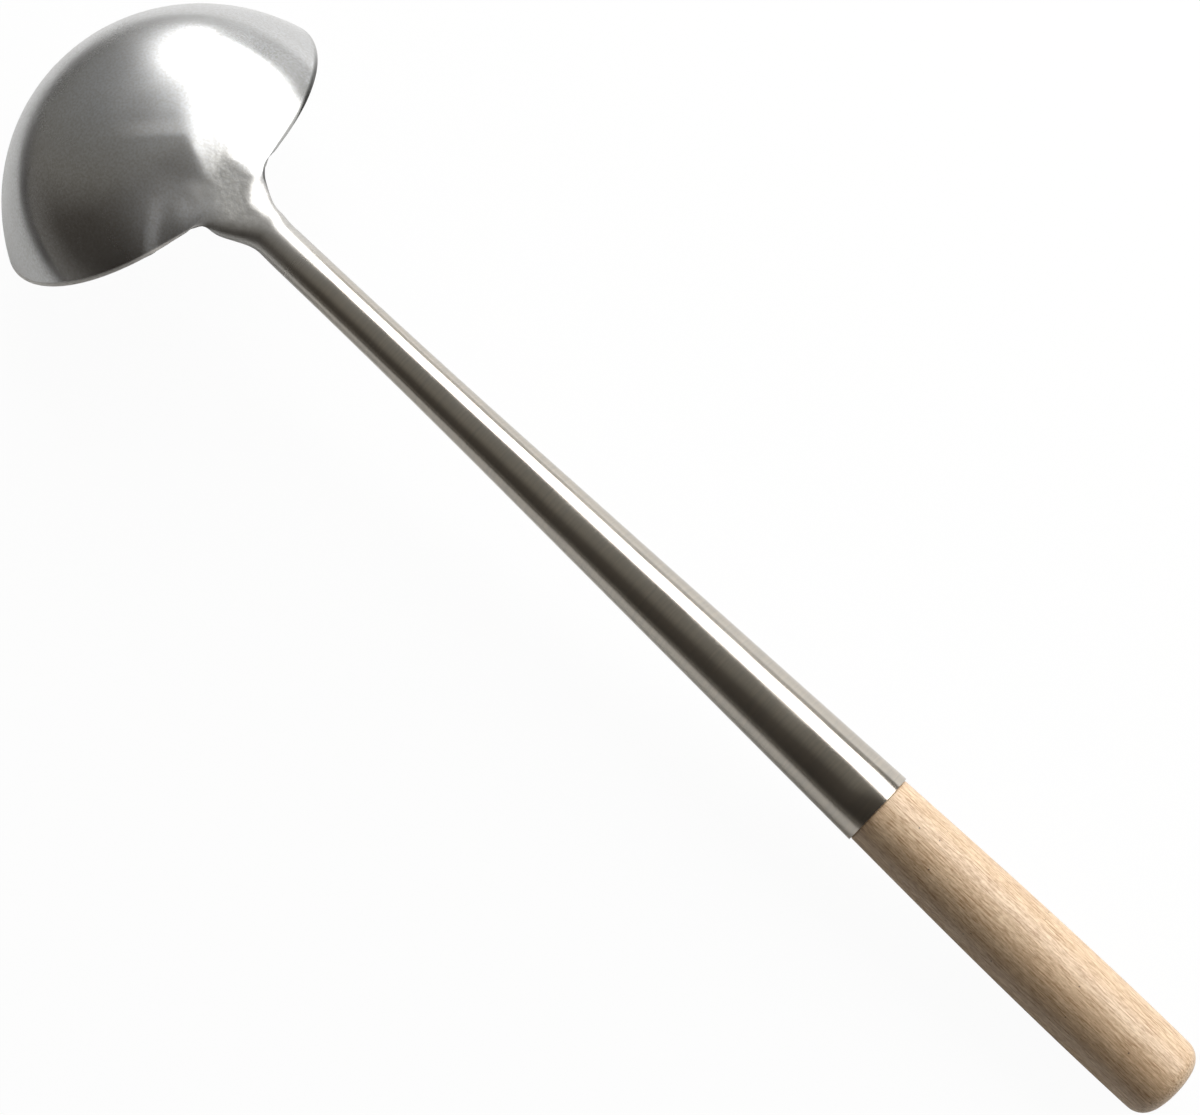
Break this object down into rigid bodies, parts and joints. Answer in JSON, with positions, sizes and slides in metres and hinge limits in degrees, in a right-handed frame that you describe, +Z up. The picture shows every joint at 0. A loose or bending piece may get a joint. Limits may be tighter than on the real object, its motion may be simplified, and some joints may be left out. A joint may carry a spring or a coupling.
{
  "type": "wok ladle",
  "caption": "Wok ladle: a round steel bowl drawn into a tapered rolled shaft, with a turned beech grip driven into the shaft's mouth, for scooping, stirring and pouring.",
  "frame": {"origin": "middle of the ladle's footprint on the table, under the middle of its box", "axes": "+X along the ladle towards the grip, +Z up from the table; the bowl lies face down and its back faces +Z"},
  "size_m": [0.4546, 0.12, 0.0673],
  "materials": {
    "satin_steel": "satin, finely brushed along the shaft",
    "beech": "bare turned beech, sanded, matte",
    "nail_steel": "plain drawn wire"
  },
  "bodies": {
    "root": {"steel_body": "satin_steel", "beech_grip": "beech", "grip_nail": "nail_steel"}
  },
  "joints": []
}
